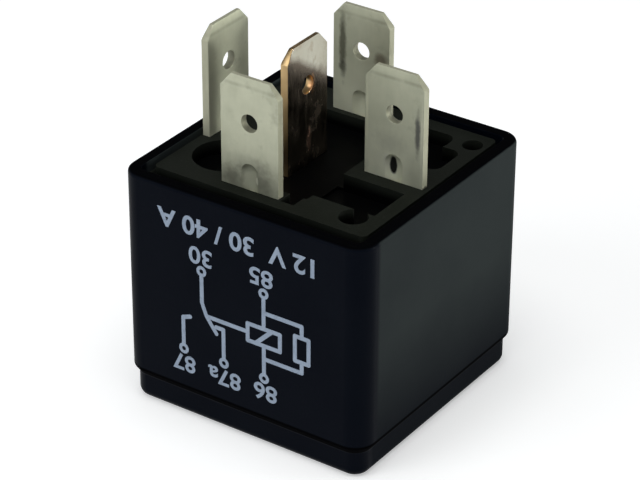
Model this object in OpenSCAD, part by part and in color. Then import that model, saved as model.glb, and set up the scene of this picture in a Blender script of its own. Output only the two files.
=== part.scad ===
// Plug-in changeover relay with five flat blades and a snap-in base plate.
// It stands on its closed end with the blades up.
// Origin: centre of the closed end's outer face. +Z runs towards the blades.
// -Y is the printed face, +X is the side of the common terminal.

/* [Case] */
// Width of the square case, side to side
case_w = 27; // [26.8:0.1:30]
// Height of the case, closed end to rim
case_h = 24.4; // [23:0.1:30]
// Thickness of the side walls
case_wall = 1.3; // [1.2:0.05:1.35]
// Thickness of the closed end
case_end = 1.4; // [1:0.1:2]
// Radius of the upright corners
corner_r = 2.1; // [1.6:0.1:3]
// Height of the stepped band at the closed end
band_h = 2.7; // [2:0.1:4]
// Height of the slope from the band to the wall
step_h = 0.7; // [0.3:0.05:0.9]
// How far the band steps in
band_step = 0.5; // [0.2:0.05:0.55]
// Rounding of the closed end's edge
end_round = 0.9; // [0.2:0.05:1]
// Rounding of the rim's outer edge
rim_round = 0.4; // [0.1:0.05:0.6]
// Radius of the corner posts that carry the base plate
post_r = 2.2; // [1.8:0.1:2.6]

/* [Base plate] */
// Depth of the plate's top below the rim
plate_drop = 0.3; // [0.1:0.05:0.5]
// Thickness of the plate, flange and plateau together
plate_t = 2.5; // [2.3:0.1:3]
// Height of the raised plateau above the flange
plateau_h = 0.8; // [0.4:0.1:1]
// Inset of the plateau from the flange on the printed side
plateau_front_inset = 1.4; // [0.8:0.1:1.5]
// Inset of the plateau from the flange on the other sides
plateau_inset = 0.45; // [0.2:0.05:0.8]
// Clearance between plate and case walls
plate_fit = 0.1; // [0.05:0.05:0.15]
// Depth of the moulded recesses
recess_depth = 1.5; // [0.8:0.1:1.7]
// Diameter of the vent hole
vent_d = 2; // [1:0.1:2.4]
// Length of the bosses that the yoke hangs on
boss_h = 1.3; // [1.2:0.1:1.6]

/* [Blades] */
// Width of each blade
blade_w = 6.3; // [5.8:0.1:6.5]
// Thickness of each blade and of its strip
blade_t = 0.8; // [0.7:0.05:0.9]
// Length of blade that stands above the plate
blade_l = 11.1; // [9:0.1:13]
// Diameter of the detent hole
detent_d = 1.8; // [1.4:0.1:2.2]
// Distance from tip to the detent hole's centre
detent_drop = 4.4; // [3.6:0.1:5]
// Width of each tip corner's bevel
tip_bevel_w = 1.05; // [0.5:0.05:1.4]
// Height of each tip corner's bevel
tip_bevel_h = 1.3; // [0.8:0.1:1.8]
// Height of the lead-in on the two faces of the tip
lead_in_h = 1.1; // [0.6:0.1:1.6]
// Thickness left at the very tip
tip_t = 0.4; // [0.3:0.05:0.6]
// Width of the groove coined into the root of three blades
groove_w = 1.9; // [1.4:0.1:2.4]
// Depth of that groove
groove_depth = 0.4; // [0.2:0.05:0.5]
// How far that groove rises above the plate
groove_l = 2.6; // [2:0.1:3.2]
// Clearance of each blade in its slot
slot_fit = 0.05; // [0.02:0.01:0.08]
// Distance between the two coil blades
coil_pitch = 17.9; // [17.7:0.1:18.4]
// Position of the coil blades along X
coil_blade_x = -1.7; // [-2:0.1:-1.2]
// Gap between the make blade's strip and the case wall
make_gap = 0.6; // [0.4:0.05:0.8]
// Position of the break blade along X
break_x = -2.25; // [-2.6:0.05:-2]
// Gap between the common blade's shoulder and the case wall
common_gap = 0.7; // [0.5:0.05:1]

/* [Magnet] */
// Diameter of the core
core_d = 6; // [5:0.1:6.4]
// Diameter of the pole head
pole_d = 9; // [7.5:0.1:10]
// Height of the pole head
pole_h = 1; // [0.6:0.1:1.4]
// Wall of the bobbin's tube
bobbin_wall = 0.75; // [0.5:0.05:1]
// Thickness of the bobbin's flanges
flange_t = 0.9; // [0.6:0.05:1.1]
// Gap between the bobbin's flange and the resistor
resistor_gap = 0.6; // [0.4:0.1:1]
// Width of the bobbin's flanges along Y
flange_w = 16.4; // [15:0.1:16.5]
// Inset of the winding from the flange's edge
winding_inset = 0.7; // [0.5:0.1:1.6]
// Thickness of the yoke
yoke_t = 1.4; // [1:0.1:1.6]
// Width of the yoke
yoke_w = 15; // [13.6:0.1:15.4]
// Angle at which the armature stands open
open_angle = 2.5; // [1.5:0.1:2.8]
// Thickness of the armature
armature_t = 1.3; // [1:0.1:1.5]

/* [Contacts] */
// Diameter of the contact heads
contact_d = 3.2; // [2.4:0.1:3.4]
// Height of each contact head
contact_h = 0.5; // [0.3:0.05:0.6]
// Thickness of the contact spring
leaf_t = 0.3; // [0.2:0.05:0.4]
// Gap left between contacts that meet
touch_gap = 0.1; // [0.08:0.01:0.2]
// Gap between the contacts and the make blade's strip
contact_gap = 0.2; // [0.1:0.05:0.4]
// Height of the break contact's foot above the closed end
foot_gap = 0.6; // [0.4:0.1:1]

/* [Return spring, braid and resistor] */
// Mean diameter of the return spring
spring_d = 1.5; // [1.3:0.1:1.6]
// Diameter of its wire
spring_wire = 0.3; // [0.2:0.05:0.35]
// Number of its turns
spring_turns = 12; // [8:1:14]
// Gap between the spring and the case wall
spring_gap = 0.35; // [0.2:0.05:0.5]
// Gap between the spring and the yoke
spring_stand = 0.25; // [0.2:0.05:0.4]
// Diameter of the copper braid
braid_d = 1.1; // [0.8:0.1:1.3]
// Diameter of the resistor
resistor_d = 2.4; // [2:0.1:2.6]
// Length of the resistor's body
resistor_l = 6.2; // [5.4:0.1:6.8]
// Gap between the resistor and the make blade's strip
resistor_stand = 1.3; // [1:0.1:1.5]
// Diameter of its leads
resistor_wire = 0.6; // [0.4:0.05:0.7]
// Diameter of the coil's wire ends
coil_wire = 0.3; // [0.2:0.05:0.4]

/* [Wiring print] */
// Width of the printed lines
print_line = 0.42; // [0.3:0.02:0.6]
// Thickness of the ink
print_t = 0.04; // [0.02:0.01:0.08]

/* [Hidden] */
$fn = 64;
eps = 0.01;

// Levels from the plate downwards
plate_top = case_h - plate_drop;
plate_bottom = plate_top - plate_t;
flange_top = plate_top - plateau_h;
blade_tip = plate_top + blade_l;
shoulder_h = blade_t;
shoulder_z = plate_bottom - shoulder_h;
shoulder_over = 0.45;
bend_r = 0.3;
yoke_top = plate_bottom - boss_h;
yoke_under = yoke_top - yoke_t;

// Plan sizes of case and plate
inner_w = case_w - 2 * case_wall;
inner_r = 0.7;
wall_in = inner_w / 2;
plate_w = inner_w - 2 * plate_fit;
plate_r = 0.6;
plateau_x = plate_w / 2 - plateau_inset;
plateau_front = -plate_w / 2 + plateau_front_inset;
nib_l = 4;
nib_h = 0.8;
nib_out = 0.4;
nib_in = 1;
nib_fit = 0.1;
nib_lift = 0.3;
nib_z = plate_bottom + nib_lift;
nib_y = 6;
boss_d = 2.4;

// Places across the case, from its side walls inwards
coil_y = coil_pitch / 2;
make_x = -(wall_in - make_gap - blade_t / 2);
contact_x = make_x + blade_t / 2 + contact_gap + contact_d / 2;
resistor_x = make_x + blade_t / 2 + resistor_stand + resistor_d / 2;
common_x = wall_in - common_gap - shoulder_over - blade_w / 2;
spring_r = (spring_d + spring_wire) / 2;
spring_x = wall_in - spring_gap - spring_r;
yoke_out = spring_x - spring_r - spring_stand;
yoke_in = yoke_out - yoke_t;
flange_low_x = resistor_x + resistor_d / 2 + resistor_gap;
flange_high_x = yoke_in - bend_r;
flange_l = flange_high_x - flange_low_x;
core_x = (flange_low_x + flange_high_x) / 2;
coil_d = flange_l - 2 * winding_inset;

// Levels from the closed end upwards
break_foot_z = case_end + foot_gap;
break_face = break_foot_z + blade_t + contact_h;
contact_drop = (yoke_out - contact_x) * sin(open_angle);
leaf_z = break_face + touch_gap + contact_drop + contact_h;
armature_z = leaf_z + leaf_t;
armature_top = armature_z + armature_t;
make_face = armature_z + contact_h + touch_gap;
make_foot_z = make_face + contact_h;
pole_gap = 0.08;
pole_face = armature_top + pole_gap;
knife_gap = 0.05;
seat_gap = 0.05;
stake_fit = 0.02;

// Strips and tails
tail_w = 2.4;
tail_l = 4.4;
tail_end = yoke_under - tail_l;
make_strip_w = 6;
foot_w = 4.8;
foot_over = 0.1;
foot_reach = contact_x + contact_d / 2 + foot_over;
strip_apart = 1;
break_strip_y = make_strip_w / 2 + strip_apart;
break_strip_w = 3.2;
break_turn_l = 5.2;
break_turn_x = make_x + break_turn_l;
break_foot_front = foot_w / 2 - 0.4;
tongue_l = 2.3;
tongue_over = 0.5;
tongue_gap = 0.1;
tongue_x = yoke_in - bend_r - tongue_gap - tongue_l;

// Yoke, armature and spring
prong_w = 2;
prong_fit = 0.3;
prong_below = 0.4;
prong_z = armature_z - prong_below;
top_leg_over = 1.6;
top_leg_x = core_x - core_d / 2 - top_leg_over;
stake_d = core_d - 2;
pole_over = 1.3;
armature_x = core_x - pole_d / 2 - pole_over;
armature_w = 13;
armature_taper = 2.5;
spring_pitch = 0.42;
hook_hole_d = 0.9;
lug_w = 3;
lug_t = 0.8;
hook_lead = 0.12;
hook_h = hook_lead + spring_d / 4 + spring_wire / 2;
hook_clear = 0.45;
hook_out = 0.35;
hook_shift = 0.2;
spring_low = armature_top + hook_clear + hook_h;
spring_high = spring_low + spring_turns * spring_pitch;
lug_z = spring_high + hook_h + hook_clear + lug_t;
ear_l = 0.8;
rivet_x = [core_x - 1.3, core_x + 2.7];
rivet_d = 2;
rivet_h = 0.4;
leaf_end = 1.5;
leaf_root = rivet_x[1] + leaf_end;
leaf_w = 8;
leaf_tip_r = 1.9;

// Resistor and wire ends
resistor_drop = 0.8;
resistor_z = yoke_under - resistor_drop;
lead_turns = 3;
lead_pitch = 0.45;
lead_low = 0.5;

// Places of the printed diagram: its columns, its rows and its grid
print_common_x = -4.2;
print_make_x = -6.4;
print_break_x = -1.8;
print_coil_x = 2.75;
print_resistor_x = 6.95;
print_high = 16.7;
print_low = 7.7;
print_arm_z = 12.1;
print_grid = 0.1;

// Square with arcs at its corners
module rounded_square(w, d, r) {
    square([w, d - 2 * r], center = true);
    square([w - 2 * r, d], center = true);
    for (sx = [-1, 1], sy = [-1, 1])
        translate([sx * (w / 2 - r), sy * (d / 2 - r)]) circle(r);
}

// Block with a rounded-square plan, whose edge follows the child profile.
// The profile starts at the corner's centre line and stands on z = 0.
module profiled_block(w, h, r) {
    reach = w / 2 - r;
    for (sx = [-1, 1], sy = [-1, 1])
        translate([sx * reach, sy * reach, 0]) rotate_extrude() children();
    for (turn = [0, 90])
        rotate([0, 0, turn]) translate([0, reach, 0]) rotate([90, 0, 0])
            linear_extrude(2 * reach) {
                translate([-reach, 0]) square([2 * reach, h]);
                translate([reach, 0]) children();
                translate([-reach, 0]) mirror([1, 0]) children();
            }
}

// Edge of the case: rounded end, stepped band, straight wall, rounded rim
module case_edge() {
    band_r = corner_r - band_step;
    wall_z = band_h + step_h;
    square([band_r - end_round, end_round]);
    translate([band_r - end_round, end_round]) circle(end_round);
    translate([0, end_round]) square([band_r, band_h - end_round]);
    polygon([[0, band_h], [band_r, band_h], [corner_r, wall_z], [0, wall_z]]);
    translate([0, wall_z]) square([corner_r, case_h - wall_z - rim_round]);
    translate([0, case_h - rim_round]) square([corner_r - rim_round, rim_round]);
    translate([corner_r - rim_round, case_h - rim_round]) circle(rim_round);
}

module case() color([0.07, 0.08, 0.09]) {
    difference() {
        profiled_block(case_w, case_h, corner_r)
            intersection() {
                case_edge();
                square([corner_r, case_h]);
            }
        translate([0, 0, case_end]) linear_extrude(case_h)
            rounded_square(inner_w, inner_w, inner_r);
        snap_nibs(nib_fit);
    }
    translate([0, 0, case_end - eps])
        linear_extrude(plate_bottom - case_end + eps) intersection() {
            square(inner_w + eps, center = true);
            for (sx = [-1, 1], sy = [-1, 1])
                translate([sx * inner_w / 2, sy * inner_w / 2]) circle(post_r);
        }
}

// Nibs on the plate's two sides, grown by a clearance for the case's pockets
module snap_nibs(grow) {
    for (sx = [-1, 1], sy = [-1, 1])
        translate([sx * (plate_w / 2 - nib_in), sy * nib_y, nib_z + nib_h / 2])
            cube([2 * (nib_in + nib_out + grow), nib_l + 2 * grow, nib_h + 2 * grow],
                 center = true);
}

// Plan of one blade slot
module slot_plan(turn) {
    rotate(turn) square([blade_w + 2 * slot_fit, blade_t + 2 * slot_fit], center = true);
}

// Where each blade stands: position along X and Y, and turn of its width
blades = [[common_x, 0, 0], [coil_blade_x, coil_y, 0], [coil_blade_x, -coil_y, 0],
          [make_x, 0, 90], [break_x, 0, 90]];

// Edges that the recesses share: beside the common and the coil blades
recess_right = common_x - blade_w / 2 - 1.2;
recess_back = coil_y - blade_t / 2 - 0.7;

// Recess round the break blade, with a slit beside the front blade
module centre_recess_plan() {
    left = break_x - 3.75;
    slit_x = coil_blade_x + blade_w / 2 + 0.25;
    translate([left, -recess_back]) square([recess_right - left, 2 * recess_back]);
    translate([slit_x, -recess_back - 1.6]) square([1.5, 1.7]);
}

// Deep pocket in front of the common blade, with its round corner relief
module front_pocket_plan() {
    left = recess_right - 0.65;
    right = wall_in - 2;
    front = 2.05 - coil_y;
    translate([left, front]) square([right - left, -front - 2]);
    translate([right - 1.45, front - 1.2]) circle(1.4);
}

// Two-lobed pocket behind the common blade
module back_pocket_plan() {
    translate([wall_in - 3.9, wall_in - 6.7]) rounded_square(3.8, 4.4, 1);
    translate([wall_in - 6.5, wall_in - 3.6]) rounded_square(5, 2.8, 1);
    translate([wall_in - 6.8, wall_in - 5.8]) rounded_square(4.4, 4.4, 1);
}

// Round pocket in the corner between the make blade and the front blade
module left_pocket_plan() {
    translate([4.8 - wall_in, 6.9 - wall_in]) circle(3.1);
}

module recess_cut(depth) {
    translate([0, 0, plate_top - depth]) linear_extrude(depth + eps) children();
}

module base_plate() color([0.2, 0.21, 0.19]) {
    depth_y = plate_w / 2 - plateau_inset - plateau_front;
    difference() {
        union() {
            translate([0, 0, plate_bottom]) linear_extrude(flange_top - plate_bottom)
                rounded_square(plate_w, plate_w, plate_r);
            translate([0, plateau_front + depth_y / 2, flange_top - eps])
                linear_extrude(plateau_h + eps)
                    rounded_square(2 * plateau_x, depth_y, plate_r);
            snap_nibs(0);
            for (p = [[core_x + 4.7, 5.2], [core_x + 4.7, -5.2], [core_x - 0.5, -5.5]])
                translate([p[0], p[1], yoke_top]) cylinder(h = boss_h + eps, d = boss_d);
        }
        recess_cut(recess_depth) centre_recess_plan();
        recess_cut(recess_depth + 0.3) front_pocket_plan();
        recess_cut(recess_depth) back_pocket_plan();
        recess_cut(recess_depth) left_pocket_plan();
        translate([0, 0, plate_bottom - eps]) linear_extrude(plate_t + 2 * eps)
            for (b = blades) translate([b[0], b[1]]) slot_plan(b[2]);
        translate([wall_in - 2, wall_in - 2.7, plate_bottom - eps])
            cylinder(h = plate_t + 2 * eps, d = vent_d);
    }
}

// Straight blade in the XZ plane, from the plate's underside to the tip
module blade() {
    difference() {
        intersection() {
            rotate([90, 0, 0]) translate([0, 0, -blade_t]) linear_extrude(2 * blade_t)
                polygon([[-blade_w / 2, plate_bottom - eps],
                         [-blade_w / 2, blade_tip - tip_bevel_h],
                         [-blade_w / 2 + tip_bevel_w, blade_tip],
                         [blade_w / 2 - tip_bevel_w, blade_tip],
                         [blade_w / 2, blade_tip - tip_bevel_h],
                         [blade_w / 2, plate_bottom - eps]]);
            rotate([90, 0, 90]) translate([0, 0, -blade_w]) linear_extrude(2 * blade_w)
                polygon([[-blade_t / 2, plate_bottom - eps],
                         [-blade_t / 2, blade_tip - lead_in_h],
                         [-tip_t / 2, blade_tip], [tip_t / 2, blade_tip],
                         [blade_t / 2, blade_tip - lead_in_h],
                         [blade_t / 2, plate_bottom - eps]]);
        }
        translate([0, blade_t, blade_tip - detent_drop]) rotate([90, 0, 0])
            cylinder(h = 2 * blade_t, d = detent_d);
    }
}

// Blade with a coined groove, round in section and at its top end
module grooved_blade() {
    groove_r = (pow(groove_w / 2, 2) + pow(groove_depth, 2)) / (2 * groove_depth);
    foot_z = plate_top - 0.3;
    end_z = plate_top + groove_l - groove_w / 2;
    difference() {
        blade();
        translate([0, groove_depth - groove_r - blade_t / 2, foot_z]) {
            cylinder(h = end_z - foot_z, r = groove_r);
            translate([0, 0, end_z - foot_z]) sphere(groove_r);
        }
    }
}

// Shoulder that seats the blade against the plate's underside
module shoulder() {
    translate([-blade_w / 2 - shoulder_over, -blade_t / 2, shoulder_z])
        cube([blade_w + 2 * shoulder_over, blade_t, shoulder_h]);
}

// Right-angle strip profile: one leg along +X, one along +Y, rounded bend
module bent_strip(along, up, t) {
    translate([t + bend_r, 0]) square([along - t - bend_r, t]);
    translate([0, t + bend_r]) square([t, up - t - bend_r]);
    translate([t + bend_r, t + bend_r]) difference() {
        intersection() {
            circle(t + bend_r);
            translate([-t - bend_r, -t - bend_r]) square(t + bend_r);
        }
        circle(bend_r);
    }
}

module terminal_30() color([0.72, 0.7, 0.62]) translate([common_x, 0, 0]) {
    grooved_blade();
    shoulder();
    translate([tongue_x - common_x - tongue_over, -blade_t / 2, yoke_top])
        cube([tongue_l + 2 * tongue_over, blade_t, shoulder_z - yoke_top + eps]);
    translate([tongue_x - common_x, -blade_t / 2, yoke_under + seat_gap])
        cube([tongue_l, blade_t, yoke_t - seat_gap + eps]);
}

// Coil terminal with the narrow tail that takes the coil's wire
module coil_terminal(side) {
    translate([coil_blade_x, side * coil_y, 0]) {
        grooved_blade();
        shoulder();
        translate([-tail_w / 2, -blade_t / 2, tail_end])
            cube([tail_w, blade_t, shoulder_z - tail_end + eps]);
    }
}

module terminal_85() color([0.72, 0.7, 0.62]) coil_terminal(1);

module terminal_86() color([0.72, 0.7, 0.62]) coil_terminal(-1);

module terminal_87() color([0.72, 0.7, 0.62]) {
    translate([make_x, 0, 0]) rotate([0, 0, 90]) {
        blade();
        shoulder();
    }
    intersection() {
        translate([make_x - blade_t / 2, 0, make_foot_z]) rotate([90, 0, 0])
            translate([0, 0, -make_strip_w / 2]) linear_extrude(make_strip_w)
                bent_strip(foot_reach - make_x + blade_t / 2,
                           shoulder_z - make_foot_z + eps, blade_t);
        union() {
            translate([make_x - blade_t, -make_strip_w / 2, make_foot_z - blade_t])
                cube([2 * blade_t, make_strip_w, case_h]);
            translate([make_x, -foot_w / 2, make_foot_z - blade_t])
                cube([case_w / 2, foot_w, 3 * blade_t]);
        }
    }
}

module terminal_87a() color([0.6, 0.45, 0.33]) {
    strip_far = break_strip_y + break_strip_w;
    translate([break_x, 0, 0]) rotate([0, 0, 90]) blade();
    translate([break_turn_x, -blade_w / 2, shoulder_z])
        cube([break_x + blade_t / 2 - break_turn_x, strip_far + blade_w / 2, blade_t]);
    translate([make_x + blade_t / 2, break_strip_y, shoulder_z])
        cube([break_turn_x - make_x - blade_t / 2 + eps, break_strip_w, blade_t]);
    translate([make_x - blade_t / 2, strip_far, break_foot_z]) rotate([90, 0, 0])
        linear_extrude(break_strip_w)
            bent_strip(foot_reach - make_x + blade_t / 2,
                       shoulder_z + blade_t - break_foot_z, blade_t);
    translate([make_x + blade_t / 2 + bend_r, -break_foot_front, break_foot_z])
        cube([foot_reach - make_x - blade_t / 2 - bend_r,
              break_strip_y + break_foot_front + eps, blade_t]);
}

module make_contact() color([0.85, 0.85, 0.83])
    translate([contact_x, 0, make_face]) cylinder(h = contact_h, d = contact_d);

module break_contact() color([0.85, 0.85, 0.83])
    translate([contact_x, 0, break_face - contact_h])
        cylinder(h = contact_h, d = contact_d);

// Turns what is drawn closed against the pole to the open rest position
module at_rest() {
    translate([yoke_out, 0, armature_top]) rotate([0, -open_angle, 0])
        translate([-yoke_out, 0, -armature_top]) children();
}

module moving_contact() color([0.85, 0.85, 0.83]) at_rest()
    translate([contact_x, 0, 0]) {
        translate([0, 0, armature_z]) cylinder(h = contact_h, d = contact_d);
        translate([0, 0, leaf_z - contact_h]) cylinder(h = contact_h, d = contact_d);
        translate([0, 0, leaf_z - eps]) cylinder(h = leaf_t + 2 * eps, d = contact_d / 2);
    }

module contact_spring() color([0.75, 0.5, 0.3]) at_rest()
    translate([0, 0, leaf_z]) linear_extrude(leaf_t) difference() {
        union() {
            polygon([[leaf_root, -leaf_w / 2], [leaf_root, leaf_w / 2],
                     [armature_x + 1, leaf_w / 2], [contact_x, leaf_tip_r],
                     [contact_x, -leaf_tip_r], [armature_x + 1, -leaf_w / 2]]);
            translate([contact_x, 0]) circle(leaf_tip_r);
        }
        translate([contact_x, 0]) circle(contact_d / 4 + stake_fit);
        for (x = rivet_x) translate([x, 0]) circle(rivet_d / 4 + stake_fit);
    }

module spring_rivets() color([0.7, 0.7, 0.7]) at_rest() for (x = rivet_x)
    translate([x, 0, 0]) {
        translate([0, 0, leaf_z - rivet_h]) cylinder(h = rivet_h, d = rivet_d);
        translate([0, 0, leaf_z - eps])
            cylinder(h = leaf_t + armature_t / 2, d = rivet_d / 2);
    }

module armature() color([0.55, 0.56, 0.58]) at_rest()
    translate([0, 0, armature_z]) difference() {
        neck_w = yoke_w - 2 * prong_w - 2 * prong_fit;
        linear_extrude(armature_t) {
            front = yoke_in - prong_fit;
            polygon([[front, -armature_w / 2], [front, armature_w / 2],
                     [armature_x + armature_taper, armature_w / 2],
                     [armature_x, armature_w / 3], [armature_x, -armature_w / 3],
                     [armature_x + armature_taper, -armature_w / 2]]);
            translate([front - eps, -neck_w / 2])
                square([yoke_out + ear_l / 2 - front, neck_w]);
            translate([yoke_out, -lug_w / 2])
                square([spring_x + ear_l - yoke_out, lug_w]);
        }
        translate([spring_x, 0, -eps]) cylinder(h = armature_t + 2 * eps, d = hook_hole_d);
        for (x = rivet_x) translate([x, 0, -eps])
            cylinder(h = armature_t / 2 + leaf_t, d = rivet_d / 2 + 2 * stake_fit);
    }

module yoke() color([0.62, 0.63, 0.65]) difference() {
    union() {
        translate([yoke_out, yoke_w / 2, 0]) rotate([90, 0, 0])
            linear_extrude(yoke_w) translate([0, yoke_top]) mirror([1, 0])
                mirror([0, 1]) bent_strip(yoke_out - top_leg_x,
                                          yoke_top - prong_z, yoke_t);
        translate([yoke_out - eps, -lug_w / 2, lug_z - lug_t])
            cube([spring_x + ear_l - yoke_out, lug_w, lug_t]);
    }
    // gap between the prongs, closed by the knife edge
    translate([yoke_in - eps, -yoke_w / 2 + prong_w, prong_z - eps])
        cube([yoke_t + 2 * eps, yoke_w - 2 * prong_w,
              armature_top + knife_gap - prong_z + eps]);
    translate([core_x, 0, yoke_under - eps])
        cylinder(h = yoke_t + 2 * eps, d = stake_d + 2 * stake_fit);
    translate([tongue_x - stake_fit, -blade_t / 2 - stake_fit, yoke_under - eps])
        cube([tongue_l + 2 * stake_fit, blade_t + 2 * stake_fit, yoke_t + 2 * eps]);
    translate([spring_x, 0, lug_z - lug_t - eps])
        cylinder(h = lug_t + 2 * eps, d = hook_hole_d);
}

module core() color([0.5, 0.51, 0.53]) translate([core_x, 0, 0]) {
    translate([0, 0, pole_face]) cylinder(h = pole_h, d = pole_d);
    translate([0, 0, pole_face + pole_h - eps])
        cylinder(h = yoke_under - pole_face - pole_h + eps, d = core_d);
    translate([0, 0, yoke_under - eps]) cylinder(h = yoke_t + eps, d = stake_d);
}

bobbin_z = pole_face + pole_h + seat_gap;
bobbin_top = yoke_under - seat_gap;
tube_r = core_d / 2 + seat_gap + bobbin_wall;

module bobbin() color([0.82, 0.8, 0.72]) translate([core_x, 0, 0]) difference() {
    union() {
        for (z = [bobbin_z, bobbin_top - flange_t]) translate([0, 0, z])
            linear_extrude(flange_t) rounded_square(flange_l, flange_w, 1.5);
        translate([0, 0, bobbin_z]) cylinder(h = bobbin_top - bobbin_z, r = tube_r);
    }
    translate([0, 0, bobbin_z - eps])
        cylinder(h = bobbin_top - bobbin_z + 2 * eps, d = core_d + 2 * seat_gap);
}

// Winding with a bead for each visible turn of wire
module coil_winding() color([0.6, 0.28, 0.12]) {
    low = bobbin_z + flange_t + seat_gap;
    high = bobbin_top - flange_t - seat_gap;
    turns = floor((high - low) / (1.6 * coil_wire));
    pitch = (high - low) / turns;
    translate([core_x, 0, low]) rotate_extrude() {
        translate([tube_r + seat_gap, 0])
            square([coil_d / 2 - pitch / 2 - tube_r - seat_gap, high - low]);
        for (i = [0 : turns - 1])
            translate([coil_d / 2 - pitch / 2, (i + 0.5) * pitch]) circle(pitch / 2, $fn = 16);
    }
}

// Straight wires through a list of points, with a ball at each bend
module wire_path(points, d) {
    for (p = points) translate(p) sphere(d = d);
    for (i = [0 : len(points) - 2]) {
        run = points[i + 1] - points[i];
        length = norm(run);
        translate(points[i]) rotate([0, acos(run[2] / length), atan2(run[1], run[0])])
            cylinder(h = length, d = d);
    }
}

// Wire end that leaves the winding and is wrapped round a coil tail
module coil_lead(side) {
    stand = coil_wire / 2 + stake_fit;
    half_x = tail_w / 2 + stand;
    half_y = blade_t / 2 + stand;
    start_y = sqrt(pow(coil_d / 2, 2) - pow(core_x - coil_blade_x, 2)) + stand;
    low = tail_end + lead_low;
    corners = [[-half_x, -half_y], [-half_x, half_y], [half_x, half_y], [half_x, -half_y]];
    wraps = [for (i = [0 : 4 * lead_turns])
             [coil_blade_x + corners[i % 4][0], side * (coil_y + corners[i % 4][1]),
              low + i * lead_pitch / 4]];
    wire_path(concat([[coil_blade_x, side * start_y, low],
                      [coil_blade_x, side * (coil_y - half_y), low]], wraps), coil_wire);
}

module coil_lead_start() color([0.7, 0.35, 0.15]) coil_lead(1);

module coil_lead_end() color([0.7, 0.35, 0.15]) coil_lead(-1);

module resistor_body() color([0.55, 0.62, 0.7])
    translate([resistor_x, resistor_l / 2, resistor_z]) rotate([90, 0, 0])
        cylinder(h = resistor_l, d = resistor_d);

module resistor_leads() color([0.75, 0.75, 0.75]) for (side = [-1, 1])
    difference() {
        wire_path([[resistor_x, side * resistor_l / 2, resistor_z],
                   [resistor_x, side * coil_y, resistor_z],
                   [coil_blade_x - tail_w / 2, side * coil_y, resistor_z]],
                  resistor_wire);
        translate([resistor_x, side * (resistor_l / 2 - resistor_wire), resistor_z])
            cube(2 * resistor_wire, center = true);
        translate([coil_blade_x - tail_w / 2 + resistor_wire, side * coil_y, resistor_z])
            cube(2 * resistor_wire, center = true);
    }

// Tube swept along a list of points, as one closed mesh
function unit(v) = v / norm(v);
function heading(p, i) = unit(p[min(i + 1, len(p) - 1)] - p[max(i - 1, 0)]);
function across(h) = unit(cross(h, abs(h[2]) < 0.9 ? [0, 0, 1] : [0, 1, 0]));
function carried(h, side) = unit(side - h * (side * h));
function sides_along(p, i, last) = i >= len(p) ? [] :
    let (side = carried(heading(p, i), last))
    concat([side], sides_along(p, i + 1, side));

module swept_tube(points, d, n) {
    sides = sides_along(points, 0, across(heading(points, 0)));
    rings = [for (i = [0 : len(points) - 1]) let (h = heading(points, i), s = sides[i],
             u = cross(h, s)) for (k = [0 : n - 1])
             points[i] + d / 2 * (cos(360 * k / n) * s + sin(360 * k / n) * u)];
    last = (len(points) - 1) * n;
    walls = [for (i = [0 : len(points) - 2], k = [0 : n - 1])
             let (a = i * n + k, b = i * n + (k + 1) % n)
             each [[a, a + n, b], [b, a + n, b + n]]];
    polyhedron(rings, concat([[for (k = [0 : n - 1]) k]], walls,
                             [[for (k = [n - 1 : -1 : 0]) last + k]]));
}

// Hook of the spring: a half circle from the coil's side to its axis, then
// through the hole and out over the far side. up is 1 or -1.
function hook(z, far, up) = concat(
    [for (a = [0 : 30 : 180]) [spring_x + spring_d / 4 * (1 + cos(a)), 0,
                               z + up * (hook_lead + spring_d / 4 * sin(a))]],
    [[spring_x, 0, far - up * hook_lead], [spring_x + hook_shift, 0, far],
     [spring_x + hook_shift + hook_out, 0, far]]);
function reversed(p) = [for (i = [len(p) - 1 : -1 : 0]) p[i]];

module return_spring() color([0.7, 0.71, 0.73]) {
    steps = 12;
    coil = [for (i = [0 : spring_turns * steps])
            [spring_x + spring_d / 2 * cos(360 * i / steps),
             spring_d / 2 * sin(360 * i / steps),
             spring_low + i * spring_pitch / steps]];
    stand = spring_wire / 2 + hook_shift;
    swept_tube(concat(reversed(hook(spring_low, armature_z - stand, -1)), coil,
                      hook(spring_high, lug_z + stand, 1)), spring_wire, 6);
}

// Copper braid from the yoke's prong round to the contact spring
module braid() color([0.75, 0.42, 0.25]) {
    d = braid_d;
    half = leaf_w / 2;
    out_y = yoke_w / 2 + d / 2 + seat_gap;
    mid_x = yoke_out - yoke_t / 2;
    end_x = armature_x + d;
    leaf_under = leaf_z - (yoke_out - end_x + d) * sin(open_angle);
    end_z = leaf_under - d / 2 - seat_gap;
    low_z = max(end_z - 0.35 * d, case_end + 0.8 * d);
    knots = [[mid_x, out_y, armature_top + 2.3 * d], [mid_x, out_y, armature_top],
             [mid_x - 0.5 * d, out_y - 0.1 * d, armature_z - 0.8 * d],
             [mid_x - 1.6 * d, out_y - 1.3 * d, low_z + 0.3 * d],
             [mid_x - 4 * d, half + 0.4 * d, low_z], [core_x, half - 0.5 * d, low_z],
             [end_x + 1.7 * d, half - 1.1 * d, end_z - 0.2 * d],
             [end_x + 0.4 * d, half - 1.3 * d, end_z],
             [end_x - d, half - 1.3 * d, end_z]];
    swept_tube(smooth(knots, 4), d, 10);
}

// Catmull-Rom curve through the points, with n steps between each two
function knot(p, i) = p[max(0, min(i, len(p) - 1))];
function smooth(p, n) = concat([for (i = [0 : len(p) - 2], k = [0 : n - 1])
    let (t = k / n, a = knot(p, i - 1), b = p[i], c = p[i + 1], d = knot(p, i + 2))
    0.5 * (2 * b + (c - a) * t + (2 * a - 5 * b + 4 * c - d) * t * t
           + (3 * b - a - 3 * c + d) * t * t * t)], [p[len(p) - 1]]);

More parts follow.
